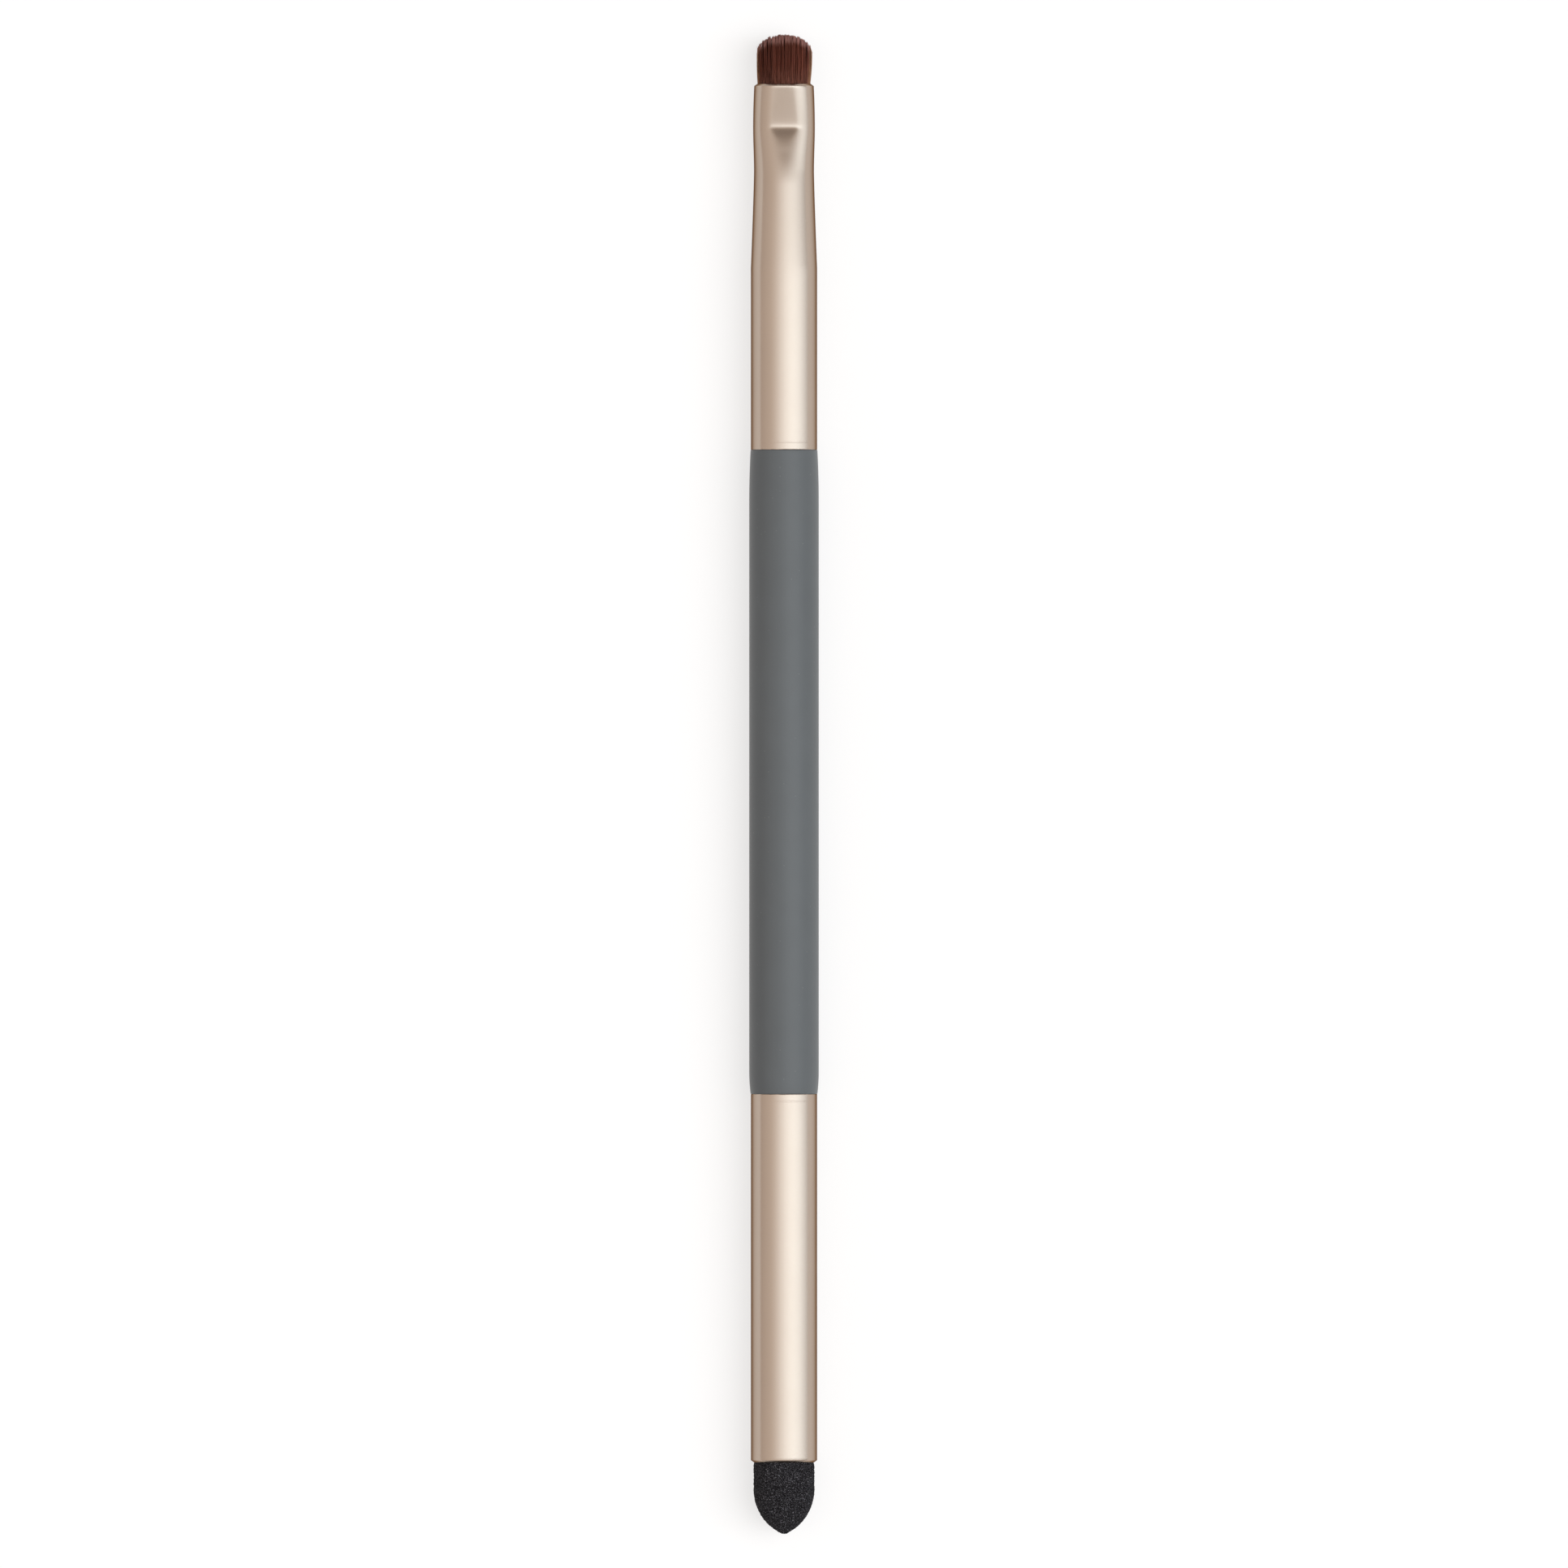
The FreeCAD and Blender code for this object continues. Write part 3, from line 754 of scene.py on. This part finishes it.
    # Stored before the strands are moved, because a moved strand's parameter follows its new length
    dye = {"Geometry": curves, "Name": "along", "Value": outer}
    dyed = add(tree, "GeometryNodeStoreNamedAttribute", dye)
    ways = {}
    for name in STRAND_PLACES:
        ways[name] = add(tree, "GeometryNodeInputNamedAttribute", {"Name": name}, data_type="FLOAT_VECTOR")
    way = ways["root"]
    for share, name in ((inner, "mouth"), (outer, "tip")):
        leg = {0: share, VECTOR_A: way, VECTOR_B: ways[name]}
        way = add(tree, "ShaderNodeMix", leg, data_type="VECTOR").outputs[VECTOR_OUT]
    bowed = add(tree, "ShaderNodeMapRange", {0: outer, TO_MAX: math.pi})
    swing = add(tree, numbers, {0: bowed}, operation="SINE")
    aside = add(tree, vectors, {0: ways["bow"], "Scale": swing}, operation="SCALE")
    moved = {"Geometry": dyed, "Position": way, "Offset": aside}
    shaped = add(tree, "GeometryNodeSetPosition", moved)
    free = add(tree, "GeometryNodeInputNamedAttribute", {"Name": "along"}, data_type="FLOAT")
    thin = add(tree, "ShaderNodeMapRange", {0: free, TO_MIN: 1, TO_MAX: 0.5})
    girth = {"Resolution": 3, "Radius": size["Bristle Radius"]}
    ring = add(tree, "GeometryNodeCurvePrimitiveCircle", girth)
    swept = {"Curve": shaped, "Profile Curve": ring, "Scale": thin, "Fill Caps": True}
    rods = add(tree, "GeometryNodeCurveToMesh", swept)
    turn = {"Geometry": rods, "Translation": size["Place"], "Rotation": (-math.pi / 2, 0, 0)}
    laid = add(tree, "GeometryNodeTransform", turn)
    smooth = add(tree, "GeometryNodeSetShadeSmooth", {"Geometry": laid})
    end_tree(tree, smooth, size["Material"])
    return tree


class EYEBRUSH_OT_bristles(Operator):
    """Domed tuft of separate bristles"""

    bl_idname = "eyebrush.bristles"
    bl_label = "Make bristles"

    def execute(self, context):
        settings = context.scene.eyebrush.tuft
        finish = dyed_bristle(settings)
        hair = settings.hair_radius
        root = settings.root_radius - hair
        tuft = Vector((settings.half_width - hair, settings.half_thickness - hair, 1))
        values = {
            "Place": (0, BRISTLE_ROOT, 0),
            "Mouth Place": (0, 0, BRUSH_MOUTH - BRISTLE_ROOT),
            "Crown Place": (0, 0, BRISTLE_END - BRISTLE_ROOT - settings.dome),
            "Root Section": (root, root, 1),
            "Mouth Section": tuft - Vector((settings.spread, settings.spread, 0)),
            "Tuft Section": tuft,
            "Dome": settings.dome,
            "Dome Fall": (1, settings.crown, 0),
            "Spacing": settings.spacing,
            "Density": 1 / settings.spacing**2,
            "Bristle Radius": hair,
            "Clumps": settings.half_width / settings.clump,
            "Clump Shape": (1, 1 / settings.clump_depth, 1),
            "Clump Fall": settings.clump_fall,
            "Drawn": settings.drawn,
            "Lean From": (-settings.stray, -settings.stray, -settings.uneven),
            "Lean To": (settings.stray, settings.stray, 0),
            "Seed": settings.seed,
            "Material": finish,
        }
        piece = grown("bristles", bpy.data.meshes.new("bristle_bed"), bristle_tree(), values)
        for name in STRAND_PLACES:
            piece.data.attributes.remove(piece.data.attributes[name])
        place_piece(piece, finish, "bristle_tuft")
        return {"FINISHED"}


def foam_outline(settings):
    """Outline of the foam from the bottom of its socket round to its tip, as (radius, along)."""
    point = FOAM_MOUTH - settings.straight
    setback = point - FOAM_END - settings.tip_radius
    drop = settings.radius - settings.tip_radius
    point_radius = (setback**2 + settings.radius**2 - settings.tip_radius**2) / (2 * drop)
    point_turn = math.atan2(setback, point_radius - settings.radius)
    packed, pinched, pinch_length = TUBE_RADIUS - 0.28 * MM, TUBE_RADIUS - 0.33 * MM, 0.35 * MM
    nose_out, nose_up = 0.7, 0.3
    outline = [
        (0, PEG_END),
        (settings.peg_radius * nose_out, PEG_END + nose_up * settings.peg_radius),
        (settings.peg_radius, PEG_END + settings.peg_radius),
        (settings.peg_radius, FOAM_ROOT),
        (packed, FOAM_ROOT),
        (packed, FOAM_MOUTH + pinch_length),
        (pinched, FOAM_MOUTH),
        (settings.radius, FOAM_MOUTH - settings.swell_length),
        (settings.radius, point),
    ]
    for turn in steps(0, point_turn, 24)[1:]:
        reach = settings.radius - point_radius * (1 - math.cos(turn))
        outline.append((reach, point - point_radius * math.sin(turn)))
    for turn in steps(point_turn, math.pi / 2, 12)[1:]:
        reach = settings.tip_radius * math.cos(turn)
        outline.append((reach, FOAM_END + settings.tip_radius * (1 - math.sin(turn))))
    return outline


def finely(outline, spacing):
    """Outline with its long stretches divided to a spacing, a coarser one where the ferrule hides them."""
    points = [Vector(point) for point in outline]
    divided = [points[0]]
    for before, after in zip(points, points[1:]):
        hidden = min(before.y, after.y) >= FOAM_MOUTH
        stride = HIDDEN_COARSENESS * spacing if hidden else spacing
        count = max(1, round((after - before).length / stride))
        divided += [before.lerp(after, step / count) for step in range(1, count + 1)]
    return divided


def foam_tree():
    """Foam cells pressed into the outside of a plain body."""
    tree, size = geometry_tree(
        "foam_cells",
        {"NodeSocketFloat": ("Cells per Metre", "Relief", "Mouth"), "NodeSocketMaterial": ("Material",)},
    )
    place = add(tree, "GeometryNodeInputPosition")
    along = add(tree, "ShaderNodeSeparateXYZ", {0: place}).outputs["Y"]
    outside = add(tree, "ShaderNodeMath", {0: along, 1: size["Mouth"]}, operation="LESS_THAN")
    pitted = {"Vector": place, "Scale": size["Cells per Metre"], "Detail": 2, "Roughness": 0.6}
    pits = add(tree, "ShaderNodeTexNoise", pitted).outputs["Fac"]
    inward = add(tree, "ShaderNodeMath", {0: size["Relief"], 1: -1}, operation="MULTIPLY")
    deep = {0: pits, FROM_MIN: 0.3, FROM_MAX: 0.7, TO_MAX: inward}
    depth = add(tree, "ShaderNodeMapRange", deep)
    normal = add(tree, "GeometryNodeInputNormal")
    offset = add(tree, "ShaderNodeVectorMath", {0: normal, "Scale": depth}, operation="SCALE")
    pressed = {"Geometry": size["Geometry"], "Selection": outside, "Offset": offset}
    rough = add(tree, "GeometryNodeSetPosition", pressed)
    end_tree(tree, rough, size["Material"])
    return tree


class EYEBRUSH_OT_foam_tip(Operator):
    """Pointed foam tip with open cells"""

    bl_idname = "eyebrush.foam_tip"
    bl_label = "Make foam tip"

    def execute(self, context):
        settings = context.scene.eyebrush.foam
        finish = charcoal_foam(settings)
        spacing = 0.07 * MM
        sides = round(2 * math.pi * settings.radius / spacing)
        body = skinned("foam_body", turned(finely(foam_outline(settings), spacing), sides))
        values = {
            "Cells per Metre": 1 / (2 * settings.cell),
            "Relief": settings.relief,
            "Mouth": FOAM_MOUTH,
            "Material": finish,
        }
        piece = grown("smudger_foam", body, foam_tree(), values)
        place_piece(piece, finish, "foam_tip")
        return {"FINISHED"}


class EYEBRUSH_OT_inner_pieces(Operator):
    """Finishes of the glue, thread and stem inside the ferrules"""

    bl_idname = "eyebrush.inner_pieces"
    bl_label = "Finish inner pieces"

    def execute(self, context):
        epoxy = set_epoxy()
        finishes = {
            "tuft_binding": waxed_thread(),
            "tuft_glue_plug": epoxy,
            "brush_end_glue": epoxy,
            "foam_end_glue": epoxy,
            "foam_stem": moulded_plastic(),
        }
        for node, finish in finishes.items():
            piece = frame["nodes"][node]
            piece.data.materials.clear()
            piece.data.materials.append(finish)
        return {"FINISHED"}


def white_floor(settings):
    """Matte white paper, which glows a little for the eye so that it reads as white beside its shadow."""
    made, tree, place = material("white_paper")
    base = Vector(settings.floor)
    tone, _ = mottled(tree, place, 2 * MM, 2, base * 0.995, base)
    path = add(tree, "ShaderNodeLightPath").outputs
    seen = path["Is Camera Ray"]
    for ray in ("Is Glossy Ray", "Is Transmission Ray"):
        seen = add(tree, "ShaderNodeMath", {0: seen, 1: path[ray]}, operation="MAXIMUM")
    glow = add(tree, "ShaderNodeMath", {0: seen, 1: settings.floor_glow}, operation="MULTIPLY")
    surface(
        tree,
        {
            "Base Color": tone,
            "Roughness": 1,
            "Specular IOR Level": 0,
            "Emission Color": (1, 1, 1, 1),
            "Emission Strength": glow,
        },
    )
    return made


def studio_world(settings):
    """Dim warm room with darker bands, and a cool strip of light across the brush, brightest to its right."""
    world = bpy.data.worlds.new("studio")
    world.use_nodes = True
    tree = world.node_tree
    tree.nodes.clear()
    strip_reach, strip_tilt = 0.12, math.radians(36)
    way = add(tree, "ShaderNodeTexCoord").outputs["Generated"]
    axes = add(tree, "ShaderNodeSeparateXYZ", {0: way}).outputs
    off_strip = add(tree, "ShaderNodeMath", {0: axes[1]}, operation="ABSOLUTE")
    across = {0: off_strip, FROM_MAX: strip_reach, TO_MIN: settings.strip, TO_MAX: 0}
    strip = add(tree, "ShaderNodeMapRange", across, interpolation_type="SMOOTHSTEP")
    middle = (math.sin(strip_tilt), 0, math.cos(strip_tilt))
    facing = add(tree, "ShaderNodeVectorMath", {0: way, 1: middle}, operation="DOT_PRODUCT").outputs["Value"]
    above = add(tree, "ShaderNodeMath", {0: facing, 1: 0}, operation="MAXIMUM")
    spread = add(tree, "ShaderNodeMath", {0: above, 1: 2}, operation="POWER")
    strength = add(tree, "ShaderNodeMath", {0: strip, 1: spread}, operation="MULTIPLY")
    overhead = add(tree, "ShaderNodeClamp", {0: axes[2]})
    walls = {0: overhead, COLOUR_A: rgba(linear("#cbc1ba")), COLOUR_B: rgba(linear("#ece4dd"))}
    wall = add(tree, "ShaderNodeMix", walls, data_type="RGBA").outputs[COLOUR_OUT]

    # Darkness of the bands at their distance from the strip
    bands = add(tree, "ShaderNodeValToRGB", {"Fac": off_strip})
    bands.color_ramp.interpolation = "EASE"
    stops = bands.color_ramp.elements
    stops[0].position, stops[1].position = 0.05, 0.97
    stops[1].color = rgba([0.4] * 3)
    for place, dark in ((0.42, 0.72), (0.5, 0.72), (0.68, 0.25), (0.88, 0.25)):
        stops.new(place).color = rgba([dark] * 3)
    tones = {0: bands.outputs["Color"], COLOUR_A: wall, COLOUR_B: rgba(linear("#584237"))}
    tone = add(tree, "ShaderNodeMix", tones, data_type="RGBA").outputs[COLOUR_OUT]
    fading = {0: axes[0], FROM_MIN: -0.7, FROM_MAX: 0.9, TO_MIN: 1.3, TO_MAX: 0.82}
    sideways = add(tree, "ShaderNodeMapRange", fading)
    room = add(tree, "ShaderNodeBackground", {"Color": tone, "Strength": sideways})
    light = add(tree, "ShaderNodeBackground", {"Color": rgba(linear("#dff2ff")), "Strength": strength})
    both = add(tree, "ShaderNodeAddShader", {0: room, 1: light})
    add(tree, "ShaderNodeOutputWorld", {"Surface": both})
    return world


class EYEBRUSH_OT_stage(Operator):
    """Floor, soft light and camera, straight above the brush as it lies"""

    bl_idname = "eyebrush.stage"
    bl_label = "Set stage"

    def execute(self, context):
        scene = context.scene
        settings = scene.eyebrush.stage
        scene.view_settings.view_transform = "Standard"
        scene.world = studio_world(settings)

        floor_size = 14
        bpy.ops.mesh.primitive_plane_add(size=floor_size, location=(0, 0, -GRIP_RADIUS))
        floor = context.object
        floor.name = "floor"
        floor.data.materials.append(white_floor(settings))

        # The lamp fills matte surfaces, while the strip of light alone draws the ferrules' highlight
        light = bpy.data.lights.new("soft_lamp", "SUN")
        light.energy = settings.key
        light.angle = math.radians(50)
        lamp = bpy.data.objects.new("soft_lamp", light)
        scene.collection.objects.link(lamp)
        lamp.location = Vector((0.5, 0, 0.87))
        lamp.rotation_euler = lamp.location.to_track_quat("Z", "Y").to_euler()
        lamp.visible_glossy = False

        data = bpy.data.cameras.new("camera")
        data.lens = settings.lens
        camera = bpy.data.objects.new("camera", data)
        scene.collection.objects.link(camera)
        whole = BRISTLE_END - FOAM_END
        camera.location = (
            0,
            (BRISTLE_END + FOAM_END) / 2,
            whole * settings.margin * settings.lens / data.sensor_width,
        )
        scene.camera = camera
        return {"FINISHED"}


class EYEBRUSH_PT_panel(Panel):
    """Lists the pieces and their settings"""

    bl_label = "Eyeshadow brush"
    bl_idname = "EYEBRUSH_PT_panel"
    bl_space_type = "VIEW_3D"
    bl_region_type = "UI"
    bl_category = "Eye brush"

    def draw(self, context):
        settings = context.scene.eyebrush
        for operator, group in PIECES:
            box = self.layout.box()
            box.operator(operator)
            if group:
                values = getattr(settings, group)
                for name in values.__annotations__:
                    box.prop(values, name)


# Operators in the panel's order, with the settings that each one reads
PIECES = (
    ("eyebrush.grip", "grip"),
    ("eyebrush.brush_ferrule", "ferrule"),
    ("eyebrush.foam_ferrule", "ferrule"),
    ("eyebrush.bristles", "tuft"),
    ("eyebrush.foam_tip", "foam"),
    ("eyebrush.inner_pieces", None),
    ("eyebrush.stage", "stage"),
)

CLASSES = (
    GripSettings,
    FerruleSettings,
    TuftSettings,
    FoamSettings,
    StageSettings,
    BrushSettings,
    EYEBRUSH_OT_grip,
    EYEBRUSH_OT_brush_ferrule,
    EYEBRUSH_OT_foam_ferrule,
    EYEBRUSH_OT_bristles,
    EYEBRUSH_OT_foam_tip,
    EYEBRUSH_OT_inner_pieces,
    EYEBRUSH_OT_stage,
    EYEBRUSH_PT_panel,
)


def register():
    for item in CLASSES:
        bpy.utils.register_class(item)
    bpy.types.Scene.eyebrush = PointerProperty(type=BrushSettings)


def unregister():
    del bpy.types.Scene.eyebrush
    for item in reversed(CLASSES):
        bpy.utils.unregister_class(item)


def main():
    register()
    bpy.ops.eyebrush.grip()
    bpy.ops.eyebrush.brush_ferrule()
    bpy.ops.eyebrush.foam_ferrule()
    bpy.ops.eyebrush.bristles()
    bpy.ops.eyebrush.foam_tip()
    bpy.ops.eyebrush.inner_pieces()
    bpy.ops.eyebrush.stage()


if __name__ == "__main__":
    main()
